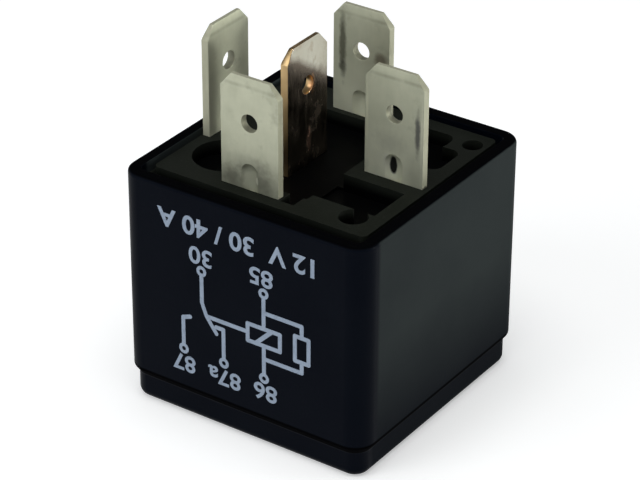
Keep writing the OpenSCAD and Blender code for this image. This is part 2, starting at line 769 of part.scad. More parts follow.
// One printed line between two points of the face
module ink_line(a, b) {
    run = b - a;
    translate(a) rotate(atan2(run[1], run[0]))
        translate([0, -print_line / 2]) square([norm(run), print_line]);
    for (p = [a, b]) translate(p) circle(d = print_line, $fn = 24);
}

module ink_path(points) {
    for (i = [0 : len(points) - 2]) ink_line(points[i], points[i + 1]);
}

module ink_ring(p) {
    translate(p) difference() {
        circle(d = 11 * print_grid, $fn = 32);
        circle(d = 4.5 * print_grid, $fn = 24);
    }
}

// Wiring diagram: coil with resistor, common arm, break and make contacts
module diagram() {
    g = print_grid;
    common = print_common_x;
    make = print_make_x;
    brk = print_break_x;
    coil = print_coil_x;
    branch = print_resistor_x;
    high = print_high;
    low = print_low;
    arm = print_arm_z;
    for (p = [[common, high], [coil, high], [make, low], [brk, low], [coil, low]])
        ink_ring(p);
    ink_path([[common, high - 5 * g], [common, arm + 13 * g], [common + 5 * g, arm],
              [brk - 8 * g, arm - 15 * g]]);
    ink_path([[common + 5 * g, arm], [coil - 18 * g, arm]]);
    ink_path([[brk - 8 * g, arm - 8 * g], [brk, arm - 8 * g], [brk, low + 5 * g]]);
    ink_path([[make + 8 * g, arm - 7 * g], [make, arm - 10 * g], [make, low + 5 * g]]);
    ink_path([[coil, high - 5 * g], [coil, arm + 9 * g]]);
    ink_path([[coil, arm - 9 * g], [coil, low + 5 * g]]);
    ink_path([[coil - 18 * g, arm - 9 * g], [coil + 18 * g, arm - 9 * g],
              [coil + 18 * g, arm + 9 * g], [coil - 18 * g, arm + 9 * g],
              [coil - 18 * g, arm - 9 * g]]);
    ink_path([[coil - 9 * g, arm - 9 * g], [coil + 9 * g, arm + 9 * g]]);
    ink_path([[coil, high - 20 * g], [branch, high - 20 * g], [branch, high - 32 * g]]);
    ink_path([[coil, low + 21 * g], [branch, low + 21 * g], [branch, low + 32 * g]]);
    ink_path([[branch - 7.5 * g, low + 32 * g], [branch + 7.5 * g, low + 32 * g],
              [branch + 7.5 * g, high - 32 * g], [branch - 7.5 * g, high - 32 * g],
              [branch - 7.5 * g, low + 32 * g]]);
}

module wiring_print() color([0.85, 0.88, 0.93])
    translate([0, -case_w / 2, 0]) rotate([90, 0, 0]) linear_extrude(print_t)
        diagram();

case();
base_plate();
terminal_30();
terminal_85();
terminal_86();
terminal_87();
terminal_87a();
make_contact();
break_contact();
moving_contact();
contact_spring();
spring_rivets();
armature();
yoke();
core();
bobbin();
coil_winding();
coil_lead_start();
coil_lead_end();
resistor_body();
resistor_leads();
return_spring();
braid();
wiring_print();
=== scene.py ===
import math

import bpy
from mathutils import Matrix, Vector


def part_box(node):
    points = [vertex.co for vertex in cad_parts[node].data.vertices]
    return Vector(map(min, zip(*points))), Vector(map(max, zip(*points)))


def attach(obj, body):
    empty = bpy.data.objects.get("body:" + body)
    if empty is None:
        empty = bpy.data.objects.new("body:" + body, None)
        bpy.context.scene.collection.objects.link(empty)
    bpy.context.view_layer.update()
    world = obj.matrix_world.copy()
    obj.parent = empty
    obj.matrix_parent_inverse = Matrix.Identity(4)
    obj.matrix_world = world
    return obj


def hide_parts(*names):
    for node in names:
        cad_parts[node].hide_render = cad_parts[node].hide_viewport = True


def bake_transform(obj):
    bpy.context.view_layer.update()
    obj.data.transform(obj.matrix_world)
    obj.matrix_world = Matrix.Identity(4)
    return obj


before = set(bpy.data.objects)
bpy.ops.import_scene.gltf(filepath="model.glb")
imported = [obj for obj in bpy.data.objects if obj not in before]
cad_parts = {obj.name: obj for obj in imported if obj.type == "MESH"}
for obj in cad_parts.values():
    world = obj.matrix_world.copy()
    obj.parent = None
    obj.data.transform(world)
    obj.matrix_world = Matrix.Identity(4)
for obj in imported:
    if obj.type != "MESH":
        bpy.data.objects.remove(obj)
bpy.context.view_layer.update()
mm = 0.001
print("frame loaded:", len(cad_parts), "nodes")


# Small helpers for node trees

nodeGrid = {"columns": 8, "width": 190, "height": 170}


def addNode(tree, kind, inputs=None, **settings):
    # each input is another node's socket or a plain value
    node = tree.nodes.new(kind)
    row, column = divmod(len(tree.nodes), nodeGrid["columns"])
    node.location = (nodeGrid["width"] * column, -nodeGrid["height"] * row)
    for name, value in settings.items():
        setattr(node, name, value)
    for key, value in (inputs or {}).items():
        if isinstance(value, bpy.types.NodeSocket):
            tree.links.new(value, node.inputs[key])
        else:
            node.inputs[key].default_value = value
    return node


def calc(tree, operation, a, b=0.0):
    return addNode(tree, "ShaderNodeMath", {0: a, 1: b}, operation=operation).outputs[0]


def times(tree, value, *factors):
    for factor in factors:
        value = calc(tree, "MULTIPLY", value, factor)
    return value


def plus(tree, value, *others):
    for other in others:
        value = calc(tree, "ADD", value, other)
    return value


def vectorMath(tree, operation, a, b=(0.0, 0.0, 0.0)):
    return addNode(tree, "ShaderNodeVectorMath", {0: a, 1: b}, operation=operation).outputs


def spread(tree, value, low, high, toLow=0.0, toHigh=1.0):
    inputs = {"Value": value, "From Min": low, "From Max": high, "To Min": toLow, "To Max": toHigh}
    return addNode(tree, "ShaderNodeMapRange", inputs).outputs[0]


def between(tree, factor, low, high):
    # low where the factor is 0 and high where it is 1
    return spread(tree, factor, 0.0, 1.0, low, high)


def mixColour(tree, factor, a, b):
    return addNode(tree, "ShaderNodeMix", {0: factor, 6: a, 7: b}, data_type="RGBA").outputs[2]


def placeInMm(tree):
    place = addNode(tree, "ShaderNodeTexCoord").outputs["Object"]
    return addNode(tree, "ShaderNodeVectorMath", {0: place, "Scale": 1 / mm}, operation="SCALE").outputs[0]


def surfaceNormal(tree):
    return addNode(tree, "ShaderNodeTexCoord").outputs["Normal"]


def axes(tree, vector):
    # the vector's X, Y and Z, each as a value
    return addNode(tree, "ShaderNodeSeparateXYZ", {0: vector}).outputs


def noise(tree, place, scale, detail, rough):
    inputs = {"Vector": place, "Scale": scale, "Detail": detail, "Roughness": rough}
    return addNode(tree, "ShaderNodeTexNoise", inputs).outputs[0]


def colour(r, g, b):
    return (r, g, b, 1.0)


# Effects that more than one material uses: each noise below is a pair, its detail and its roughness

def newGroup(name, inputs, outputs):
    tree = bpy.data.node_groups.new(name, "ShaderNodeTree")
    for label, kind, value in inputs:
        socket = tree.interface.new_socket(label, in_out="INPUT", socket_type="NodeSocket" + kind)
        socket.default_value = value
    for label, kind in outputs:
        tree.interface.new_socket(label, in_out="OUTPUT", socket_type="NodeSocket" + kind)
    source = tree.nodes.new("NodeGroupInput").outputs
    target = tree.nodes.new("NodeGroupOutput").inputs
    return tree, source, target


grainShape = {"fineNoise": (3.0, 0.6), "cloudNoise": (3.0, 0.5), "cloudLevels": (0.3, 0.7)}


def makeGrain():
    # fine moulded grain, and slow cloudy changes of tone
    tree, source, target = newGroup("mouldedGrain",
                                    [("Scale", "Float", 4.0), ("Cloud scale", "Float", 0.12)],
                                    [("Height", "Float"), ("Cloud", "Float")])
    place = placeInMm(tree)
    fine = noise(tree, place, source["Scale"], *grainShape["fineNoise"])
    clouds = noise(tree, place, source["Cloud scale"], *grainShape["cloudNoise"])
    tree.links.new(fine, target["Height"])
    tree.links.new(spread(tree, clouds, *grainShape["cloudLevels"]), target["Cloud"])
    return tree


edgeWearShape = {
    "samples": 4, "turned": (0.995, 0.86),  # how far the rounded normal leaves the flat one
    "patchNoise": (4.0, 0.6), "patchLevels": (0.42, 0.62),
}


def makeEdgeWear():
    # rubbed edges, broken up so that the wear isn't an even line
    shape = edgeWearShape
    tree, source, target = newGroup("edgeWear",
                                    [("Radius", "Float", 0.0002), ("Breakup", "Float", 1.2)],
                                    [("Mask", "Float")])
    rounded = addNode(tree, "ShaderNodeBevel", {"Radius": source["Radius"]}, samples=shape["samples"])
    flat = addNode(tree, "ShaderNodeNewGeometry").outputs["Normal"]
    together = vectorMath(tree, "DOT_PRODUCT", rounded.outputs[0], flat)["Value"]
    patches = noise(tree, placeInMm(tree), source["Breakup"], *shape["patchNoise"])
    mask = times(tree, spread(tree, together, *shape["turned"]), spread(tree, patches, *shape["patchLevels"]))
    tree.links.new(mask, target["Mask"])
    return tree


streakShape = {"coarseNoise": (3.0, 0.55), "coarseLevels": (0.35, 0.68),
               "fineNoise": (4.0, 0.65), "fineScale": 4.5}  # the scale of fine to that of coarse


def makeStreaks():
    # marks drawn out along one direction, coarse for colour and fine for height
    shape = streakShape
    tree, source, target = newGroup("drawnStreaks",
                                    [("Stretch", "Vector", (1.0, 1.0, 1.0)), ("Scale", "Float", 3.0)],
                                    [("Streak", "Float"), ("Height", "Float")])
    place = vectorMath(tree, "MULTIPLY", placeInMm(tree), source["Stretch"])[0]
    coarse = noise(tree, place, source["Scale"], *shape["coarseNoise"])
    fine = noise(tree, place, times(tree, source["Scale"], shape["fineScale"]), *shape["fineNoise"])
    tree.links.new(spread(tree, coarse, *shape["coarseLevels"]), target["Streak"])
    tree.links.new(fine, target["Height"])
    return tree


patchShape = {"noise": (5.0, 0.62), "bareLevel": 0.78, "coverReach": 0.5, "border": 0.16}


def makePatches():
    # dull patches with soft borders
    shape = patchShape
    tree, source, target = newGroup("dullPatches",
                                    [("Scale", "Float", 0.4), ("Cover", "Float", 0.5)],
                                    [("Mask", "Float")])
    patches = noise(tree, placeInMm(tree), source["Scale"], *shape["noise"])
    low = calc(tree, "SUBTRACT", shape["bareLevel"], times(tree, source["Cover"], shape["coverReach"]))
    tree.links.new(spread(tree, patches, low, plus(tree, low, shape["border"])), target["Mask"])
    return tree


dustShape = {"speckNoise": (4.0, 0.7), "speckLevels": (0.56, 0.72), "upward": (0.5, 0.95)}


def makeDust():
    # pale specks that settle on what faces up
    shape = dustShape
    tree, source, target = newGroup("settledDust",
                                    [("Amount", "Float", 0.5), ("Speck scale", "Float", 3.0)],
                                    [("Mask", "Float")])
    up = axes(tree, surfaceNormal(tree))["Z"]
    specks = noise(tree, placeInMm(tree), source["Speck scale"], *shape["speckNoise"])
    mask = times(tree, spread(tree, up, *shape["upward"]), spread(tree, specks, *shape["speckLevels"]),
                 source["Amount"])
    tree.links.new(mask, target["Mask"])
    return tree


grain = makeGrain()
edgeWear = makeEdgeWear()
drawnStreaks = makeStreaks()
dullPatches = makePatches()
settledDust = makeDust()
print("shader groups made")


def useGroup(tree, group, values):
    return addNode(tree, "ShaderNodeGroup", values, node_tree=group).outputs


def newMaterial(name, fixed=None):
    # fixed holds the shader's own values that are the same all over
    material = bpy.data.materials.new(name)
    material.use_nodes = True
    tree = material.node_tree
    shader = tree.nodes["Principled BSDF"]
    for key, value in (fixed or {}).items():
        shader.inputs[key].default_value = value
    return material, tree, shader.inputs


def raiseBump(tree, target, height, distance):
    bump = addNode(tree, "ShaderNodeBump", {"Height": height, "Distance": distance, "Strength": 1.0})
    tree.links.new(bump.outputs[0], target["Normal"])


# Materials. Places in them are in mm, and bump heights and wear radii in m.

casePlasticLook = {
    "body": colour(0.0016, 0.0028, 0.0062), "faded": colour(0.0028, 0.0042, 0.0078), "specular": 0.022,
    "rough": (0.30, 0.42), "patches": {"Scale": 0.35, "Cover": 0.45}, "patchRough": 0.08,
    "grain": {"Scale": 3.6, "Cloud scale": 0.13}, "grainHeight": 0.000012,
    "wear": {"Radius": 0.00016, "Breakup": 1.1}, "rubbed": colour(0.018, 0.020, 0.022), "rubbedMix": 0.55,
    "dusting": {"Amount": 0.10, "Speck scale": 2.6}, "dust": colour(0.030, 0.030, 0.029),
    # the three faces without print: what counts as one, and how the painted light that makes them paler fades
    # over it
    "plainLit": colour(0.034, 0.041, 0.041), "plainRough": 0.64, "plainFacing": (0.60, 0.70),
    "plainFrom": (-11.15, -10.75), "plainLitUpwards": (3.0, 13.5, 0.09, 0.90),
    "plainLitBackwards": (-10.0, 12.0, 0.90, 1.20), "plainLitCloud": (0.88, 1.1),
    # painted shade at the step, and on the rim's top round the plate
    "paintedShade": colour(0.0004, 0.0004, 0.0006), "stepShadeMix": 0.95, "paintedShadeRough": 0.95,
    "stepZ": 3.22, "stepHalf": 0.38, "stepSoft": 0.12,
    "rimZ": 23.9, "rimSoft": 0.3, "rimFacing": (0.5, 0.85), "rimMix": 0.9,
}


def plainFaces(tree, look, normal, at):
    # the sides and the back, but not the printed front
    facing = calc(tree, "MAXIMUM", calc(tree, "ABSOLUTE", normal["X"]), normal["Y"])
    return times(tree, spread(tree, facing, *look["plainFacing"]), spread(tree, at["Y"], *look["plainFrom"]))


def stepShade(tree, look, at):
    # painted shade in a band round the step's height
    away = calc(tree, "ABSOLUTE", calc(tree, "SUBTRACT", at["Z"], look["stepZ"]))
    return spread(tree, away, look["stepHalf"] + look["stepSoft"], look["stepHalf"])


def rimMask(tree, look, normal, at):
    # painted shade where the case's top faces up, at the rim round the plate
    return times(tree, spread(tree, normal["Z"], *look["rimFacing"]),
                 spread(tree, at["Z"], look["rimZ"], look["rimZ"] + look["rimSoft"]))


def casePlastic():
    look = casePlasticLook
    material, tree, target = newMaterial("casePlastic", {"Specular IOR Level": look["specular"]})
    moulded = useGroup(tree, grain, look["grain"])
    worn = useGroup(tree, edgeWear, look["wear"])["Mask"]
    dull = useGroup(tree, dullPatches, look["patches"])["Mask"]
    dusty = useGroup(tree, settledDust, look["dusting"])["Mask"]
    normal = axes(tree, surfaceNormal(tree))
    at = axes(tree, placeInMm(tree))
    dullFaces = plainFaces(tree, look, normal, at)
    paintedShade = stepShade(tree, look, at)
    rim = rimMask(tree, look, normal, at)
    # painted light makes the plain faces paler, more at the top than at the bottom, and unevenly so
    plainLit = times(tree, dullFaces, spread(tree, at["Z"], *look["plainLitUpwards"]),
                  spread(tree, at["Y"], *look["plainLitBackwards"]),
                  between(tree, moulded["Cloud"], *look["plainLitCloud"]))
    body = mixColour(tree, moulded["Cloud"], look["body"], look["faded"])
    # painted light on the plain faces
    body = mixColour(tree, plainLit, body, look["plainLit"])
    body = mixColour(tree, times(tree, worn, look["rubbedMix"]), body, look["rubbed"])
    body = mixColour(tree, dusty, body, look["dust"])
    # painted shade at the step and on the rim's top
    body = mixColour(tree, times(tree, paintedShade, look["stepShadeMix"]), body, look["paintedShade"])
    body = mixColour(tree, times(tree, rim, look["rimMix"]), body, look["paintedShade"])
    tree.links.new(body, target["Base Color"])
    rough = plus(tree, between(tree, moulded["Cloud"], *look["rough"]), times(tree, dull, look["patchRough"]))
    rough = between(tree, dullFaces, rough, look["plainRough"])
    rough = between(tree, calc(tree, "MAXIMUM", paintedShade, rim), rough, look["paintedShadeRough"])
    tree.links.new(rough, target["Roughness"])
    raiseBump(tree, target, moulded["Height"], look["grainHeight"])
    return material


platePlasticLook = {
    "top": colour(0.0086, 0.0102, 0.0078), "cloudy": colour(0.0126, 0.0145, 0.0115),
    "specular": 0.03, "rough": (0.46, 0.60),
    "grain": {"Scale": 4.4, "Cloud scale": 0.22}, "grainHeight": 0.000014,
    "wear": {"Radius": 0.00014, "Breakup": 1.6}, "rubbed": colour(0.032, 0.034, 0.030), "rubbedMix": 0.5,
    "dusting": {"Amount": 0.16, "Speck scale": 3.4}, "dust": colour(0.05, 0.05, 0.045),
    # painted shade in the recesses: how far below the top, above the underside and in from the sides they
    # darken
    "recessShade": colour(0.0006, 0.0007, 0.0009), "belowTop": (0.3, 1.1), "aboveUnderside": (0.1, 0.3),
    "inFromSide": (0.1, 0.3),
}


def recessDepth(tree, look):
    # 1 deep in a recess, where the painted shade goes, and 0 on the plate's top, sides and underside
    low, high = [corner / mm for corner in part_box("base_plate")]
    at = axes(tree, placeInMm(tree))
    outward = calc(tree, "MAXIMUM", calc(tree, "ABSOLUTE", at["X"]), calc(tree, "ABSOLUTE", at["Y"]))
    return times(tree, spread(tree, at["Z"], *[high.z - depth for depth in look["belowTop"]]),
                 spread(tree, at["Z"], *[low.z + lift for lift in look["aboveUnderside"]]),
                 spread(tree, outward, *[high.y - inset for inset in look["inFromSide"]]))


def platePlastic():
    look = platePlasticLook
    material, tree, target = newMaterial("platePlastic", {"Specular IOR Level": look["specular"]})
    moulded = useGroup(tree, grain, look["grain"])
    worn = useGroup(tree, edgeWear, look["wear"])["Mask"]
    dusty = useGroup(tree, settledDust, look["dusting"])["Mask"]
    body = mixColour(tree, moulded["Cloud"], look["top"], look["cloudy"])
    body = mixColour(tree, times(tree, worn, look["rubbedMix"]), body, look["rubbed"])
    body = mixColour(tree, dusty, body, look["dust"])
    # painted shade in the recesses
    body = mixColour(tree, recessDepth(tree, look), body, look["recessShade"])
    tree.links.new(body, target["Base Color"])
    tree.links.new(between(tree, moulded["Cloud"], *look["rough"]), target["Roughness"])
    raiseBump(tree, target, moulded["Height"], look["grainHeight"])
    return material


# what all five blades share
bladeSurface = {
    "drawn": {"Stretch": (1.0, 1.0, 0.45), "Scale": 0.55},
    "fine": {"Stretch": (1.0, 1.0, 0.16), "Scale": 2.2},
    "clouds": {"Scale": 2.5, "Cloud scale": 0.5}, "wear": {"Radius": 0.00012, "Breakup": 1.4},
    "stainScale": 0.42, "cutFacing": (0.75, 0.35), "drawnShare": 0.45, "cloudShare": 0.55,
    "dullMix": 0.8, "shineMix": 0.7, "stainRough": 0.14, "cloudRough": 0.08, "cutRough": 0.12,
    "stainDepth": -0.3, "height": 0.000006,
}
tinnedLook = {
    "face": colour(0.53, 0.54, 0.41), "streak": colour(0.45, 0.46, 0.345),
    "dull": colour(0.37, 0.37, 0.275), "edge": colour(0.44, 0.43, 0.32), "shine": colour(0.62, 0.62, 0.50),
    "rough": (0.44, 0.54), "stainCover": 0.42, "edgeMix": 0.6, "metallic": (0.66, 0.48),
    # painted light: a paler foot, downwards from the first height, on the blades away from the front and the
    # right
    "foot": {"colour": colour(0.80, 0.81, 0.63), "heights": (30.0, 25.2), "back": (-6.0, -4.0),
             "right": (7.0, 10.0, 1.0, 0.2)},
    # painted shade: a darker line where the tip starts to thin out
    "tipLine": {"colour": colour(0.22, 0.22, 0.16), "height": 34.35, "border": (0.24, 0.05),
                "strength": (0.1, 0.5)},
    # marks: centre and half size, strength, ragged border, colour; what each one paints is said above it
    # painted dark reflection streak down the left of blade 85, in two parts
    "marks": [((-3.80, 8.5, 31.0), (0.50, 0.5, 4.2), 0.85, 0.7, colour(0.09, 0.09, 0.06)),
              ((-3.75, 8.5, 28.7), (0.55, 0.5, 1.1), 0.60, 0.7, colour(0.05, 0.05, 0.035)),
              # painted shadow of blade 30's top corner on blade 85
              ((0.50, 8.5, 30.4), (0.9, 0.5, 0.9), 0.65, 0.6, colour(0.11, 0.075, 0.045)),
              # on blade 30: a painted dark reflection streak near the right edge, and painted highlights
              # along both edges
              ((10.42, -0.4, 29.5), (0.38, 0.5, 2.6), 0.85, 0.7, colour(0.08, 0.08, 0.08)),
              ((10.86, -0.4, 29.0), (0.18, 0.5, 4.4), 0.35, 0.7, colour(0.80, 0.80, 0.64)),
              ((4.95, -0.4, 29.0), (0.22, 0.5, 5.0), 0.35, 0.7, colour(0.80, 0.80, 0.60)),
              # on blade 30: a painted highlight round the groove, and painted shade in the groove
              ((7.10, -0.4, 25.9), (0.42, 0.6, 1.2), 0.35, 0.7, colour(0.74, 0.74, 0.62)),
              ((7.72, -0.22, 25.45), (0.44, 0.44, 1.14), 1.0, 0.25, colour(0.012, 0.012, 0.011)),
              # darker blotches low on blade 86
              ((-3.6, -9.4, 24.9), (1.6, 0.5, 1.6), 0.60, 0.9, colour(0.12, 0.12, 0.09)),
              ((-0.4, -9.4, 25.2), (1.6, 0.5, 2.4), 0.55, 0.9, colour(0.12, 0.12, 0.09)),
              ((-2.4, -9.4, 26.0), (1.1, 0.5, 0.6), 0.40, 0.9, colour(0.12, 0.12, 0.09)),
              ((-1.7, -9.4, 26.6), (3.0, 0.5, 1.3), 0.36, 0.9, colour(0.18, 0.18, 0.14)),
              # painted glint low on blade 86
              ((-1.0, -9.2, 25.1), (0.30, 0.5, 0.42), 0.60, 0.3, colour(0.80, 0.80, 0.68)),
              # darker mottling low on blade 30
              ((7.4, -0.4, 27.9), (2.2, 0.5, 1.4), 0.25, 0.9, colour(0.16, 0.16, 0.14))],
    # painted shade on the detent holes' walls, which reaches through the blade
    "holes": {"centres": [(7.9, 0.0, 30.8), (-1.7, 8.95, 30.8), (-1.7, -8.95, 30.8), (-11.2, 0.0, 30.8)],
              "radius": 0.93, "through": 8.0, "ragged": 0.1, "wall": colour(0.07, 0.07, 0.05), "mix": 0.85},
}
bareLook = {
    "face": colour(0.50, 0.49, 0.40), "streak": colour(0.44, 0.41, 0.32), "dull": colour(0.34, 0.27, 0.19),
    # the orange on rubbed edges is partly real worn copper and partly painted glint
    "edge": colour(0.60, 0.42, 0.21), "shine": colour(0.80, 0.42, 0.16),
    "rough": (0.07, 0.14), "stainCover": 0.46, "edgeMix": 1.0, "metallic": (1.0, 0.95),
    # painted dark reflection on the break blade: it covers what lies below a slanting line
    "darkReflection": {"colour": colour(0.165, 0.125, 0.090), "strength": 0.88, "rough": 0.10,
                "slope": 0.59, "level": 32.9, "soft": 0.5, "ragged": 1.4, "scale": 0.8, "noise": (4.0, 0.5)},
    # painted glints: a pale pink one low on the face, and an orange one beside the hole
    "marks": [((-1.85, 0.2, 25.2), (0.6, 0.40, 1.5), 0.9, 0.7, colour(0.90, 0.55, 0.40)),
              ((-1.85, 0.75, 30.6), (0.6, 0.45, 1.2), 0.8, 0.7, colour(0.80, 0.42, 0.20))],
}
# how the border of a mark is broken up, and how far it reaches out and in
softMarkBorder = {"scale": 1.6, "noise": (3.0, 0.5), "outwards": 0.5, "inwards": 0.36}


def softMark(tree, centre, half, ragged):
    # a soft-edged mark at one place on the metal
    border = softMarkBorder
    place = placeInMm(tree)
    away = vectorMath(tree, "SUBTRACT", place, centre)[0]
    reach = vectorMath(tree, "LENGTH", vectorMath(tree, "DIVIDE", away, half)[0])["Value"]
    broken = times(tree, noise(tree, place, border["scale"], *border["noise"]), ragged)
    return spread(tree, plus(tree, reach, broken), 1 + border["outwards"] * ragged,
                  1 - border["inwards"] * ragged)


def darkReflectionMask(tree, slant):
    # where the painted dark reflection goes: below a slanting, ragged line
    place = placeInMm(tree)
    at = axes(tree, place)
    line = plus(tree, at["Z"], times(tree, at["Y"], slant["slope"]))
    ragged = times(tree, noise(tree, place, slant["scale"], *slant["noise"]), slant["ragged"])
    line = plus(tree, line, calc(tree, "SUBTRACT", ragged, slant["ragged"] / 2))
    return spread(tree, line, slant["level"] + slant["soft"], slant["level"] - slant["soft"],
                  0.0, slant["strength"])


def footLightMask(tree, foot, at):
    # where the painted light on the blades' feet goes
    return times(tree, spread(tree, at["Z"], *foot["heights"]), spread(tree, at["Y"], *foot["back"]),
                 spread(tree, at["X"], *foot["right"]))


def tipShadeLine(tree, line, at, cloudy):
    away = calc(tree, "ABSOLUTE", calc(tree, "SUBTRACT", at["Z"], line["height"]))
    return times(tree, spread(tree, away, *line["border"]), between(tree, cloudy, *line["strength"]))


def addMarks(tree, body, marks):
    for centre, half, strength, ragged, tint in marks:
        body = mixColour(tree, times(tree, softMark(tree, centre, half, ragged), strength), body, tint)
    return body


def darkenHoles(tree, body, holes, faceAxis, cut):
    reach = [holes["through"] if along else holes["radius"] for along in faceAxis]
    for centre in holes["centres"]:
        # painted shade on the hole's wall
        wall = times(tree, softMark(tree, centre, reach, holes["ragged"]), cut, holes["mix"])
        body = mixColour(tree, wall, body, holes["wall"])
    return body


def cutFaces(tree, faceAxis):
    # the narrow faces, where the blade was cut from its strip
    facing = vectorMath(tree, "DOT_PRODUCT", surfaceNormal(tree), faceAxis)["Value"]
    return spread(tree, calc(tree, "ABSOLUTE", facing), *bladeSurface["cutFacing"])


def bladeRoughness(tree, look, streak, stained, cloudy, cut):
    shared = bladeSurface
    return plus(tree, between(tree, streak, *look["rough"]), times(tree, stained, shared["stainRough"]),
                times(tree, cloudy, shared["cloudRough"]), times(tree, cut, shared["cutRough"]))


def bladeMetal(name, look, faceAxis):
    # faceAxis is the direction that the blade's two wide faces look along
    shared = bladeSurface
    stains = {"Scale": shared["stainScale"], "Cover": look["stainCover"]}
    material, tree, target = newMaterial(name)
    drawn = useGroup(tree, drawnStreaks, shared["drawn"])["Streak"]
    fine = useGroup(tree, drawnStreaks, shared["fine"])
    cloudy = useGroup(tree, grain, shared["clouds"])["Cloud"]
    stained = useGroup(tree, dullPatches, stains)["Mask"]
    worn = useGroup(tree, edgeWear, shared["wear"])["Mask"]
    cut = cutFaces(tree, faceAxis)
    tone = plus(tree, times(tree, drawn, shared["drawnShare"]), times(tree, cloudy, shared["cloudShare"]))
    rough = bladeRoughness(tree, look, fine["Streak"], stained, cloudy, cut)
    body = mixColour(tree, tone, look["face"], look["streak"])
    body = mixColour(tree, times(tree, stained, shared["dullMix"]), body, look["dull"])
    if "darkReflection" in look:
        # painted dark reflection below the slanting line
        darkReflected = darkReflectionMask(tree, look["darkReflection"])
        body = mixColour(tree, darkReflected, body, look["darkReflection"]["colour"])
        rough = plus(tree, rough, times(tree, darkReflected, look["darkReflection"]["rough"]))
    if "foot" in look:
        at = axes(tree, placeInMm(tree))
        # painted light on the lower part of the blades
        body = mixColour(tree, footLightMask(tree, look["foot"], at), body, look["foot"]["colour"])
        # painted shade where the tip starts to thin out
        line = tipShadeLine(tree, look["tipLine"], at, cloudy)
        body = mixColour(tree, line, body, look["tipLine"]["colour"])
    body = mixColour(tree, times(tree, cut, look["edgeMix"]), body, look["edge"])
    body = mixColour(tree, times(tree, worn, shared["shineMix"]), body, look["shine"])
    body = addMarks(tree, body, look["marks"])
    if "holes" in look:
        body = darkenHoles(tree, body, look["holes"], faceAxis, cut)
    tree.links.new(body, target["Base Color"])
    tree.links.new(between(tree, stained, *look["metallic"]), target["Metallic"])
    tree.links.new(rough, target["Roughness"])
    height = plus(tree, fine["Height"], times(tree, stained, shared["stainDepth"]))
    raiseBump(tree, target, height, shared["height"])
    return material


# strip, wire and turned metal; stretch draws the marks out along the working direction
stripSurface = {"streakScale": 2.2, "patchScale": 0.5, "streakMix": 0.4, "patchMix": 0.6,
                "roughSpan": 0.12, "height": 0.000005}
stripLooks = {
    "contactSilver": {"bright": colour(0.80, 0.80, 0.76), "dull": colour(0.55, 0.54, 0.50),
                      "rough": 0.22, "stretch": (1.0, 1.0, 1.0), "cover": 0.4},
    "springBronze": {"bright": colour(0.70, 0.44, 0.22), "dull": colour(0.46, 0.26, 0.12),
                     "rough": 0.20, "stretch": (0.08, 1.0, 1.0), "cover": 0.4},
    "zincPlatedSteel": {"bright": colour(0.58, 0.59, 0.58), "dull": colour(0.38, 0.40, 0.40),
                        "rough": 0.30, "stretch": (0.5, 0.5, 0.2), "cover": 0.6},
    "tinnedWire": {"bright": colour(0.70, 0.70, 0.66), "dull": colour(0.45, 0.45, 0.42),
                   "rough": 0.26, "stretch": (1.0, 0.2, 1.0), "cover": 0.4},
    "drawnSpringSteel": {"bright": colour(0.56, 0.56, 0.57), "dull": colour(0.34, 0.34, 0.35),
                         "rough": 0.24, "stretch": (1.0, 1.0, 3.0), "cover": 0.4},
}


def stripMetal(name):
    look = stripLooks[name]
    shared = stripSurface
    material, tree, target = newMaterial(name, {"Metallic": 1.0})
    drawn = useGroup(tree, drawnStreaks, {"Stretch": look["stretch"], "Scale": shared["streakScale"]})
    stained = useGroup(tree, dullPatches, {"Scale": shared["patchScale"], "Cover": look["cover"]})["Mask"]
    body = mixColour(tree, times(tree, drawn["Streak"], shared["streakMix"]), look["bright"], look["dull"])
    body = mixColour(tree, times(tree, stained, shared["patchMix"]), body, look["dull"])
    rough = between(tree, drawn["Streak"], look["rough"], look["rough"] + shared["roughSpan"])
    tree.links.new(body, target["Base Color"])
    tree.links.new(rough, target["Roughness"])
    raiseBump(tree, target, drawn["Height"], shared["height"])
    return material


bobbinLook = {
    "body": colour(0.66, 0.60, 0.46), "shaded": colour(0.58, 0.51, 0.37), "dust": colour(0.45, 0.42, 0.36),
    "glow": 0.12, "glowScale": 0.0006, "rough": (0.42, 0.55), "grainHeight": 0.00001,
    "grain": {"Scale": 3.0, "Cloud scale": 0.2}, "dusting": {"Amount": 0.2, "Speck scale": 3.0},
}


def bobbinNylon():
    look = bobbinLook
    material, tree, target = newMaterial("bobbinNylon", {"Subsurface Weight": look["glow"],
                                                         "Subsurface Scale": look["glowScale"]})
    moulded = useGroup(tree, grain, look["grain"])
    dusty = useGroup(tree, settledDust, look["dusting"])["Mask"]
    body = mixColour(tree, moulded["Cloud"], look["body"], look["shaded"])
    body = mixColour(tree, dusty, body, look["dust"])
    tree.links.new(body, target["Base Color"])
    tree.links.new(between(tree, moulded["Cloud"], *look["rough"]), target["Roughness"])
    raiseBump(tree, target, moulded["Height"], look["grainHeight"])
    return material


# turns is how many streaks a millimetre shows, so that each turn of wire differs a little
copperLooks = {
    "enamelledCopper": {"bright": colour(0.60, 0.20, 0.06), "dark": colour(0.34, 0.09, 0.03),
                        "coat": 0.6, "turns": 2.1},
    "braidCopper": {"bright": colour(0.72, 0.36, 0.17), "dark": colour(0.42, 0.17, 0.07),
                    "coat": 0.0, "turns": 3.0},
}
copperSurface = {"coatRough": 0.12, "sideStretch": 0.15, "streakScale": 1.4, "cloudMix": 0.3,
                 "clouds": {"Scale": 6.0, "Cloud scale": 0.3}, "rough": (0.24, 0.38), "height": 0.000004}


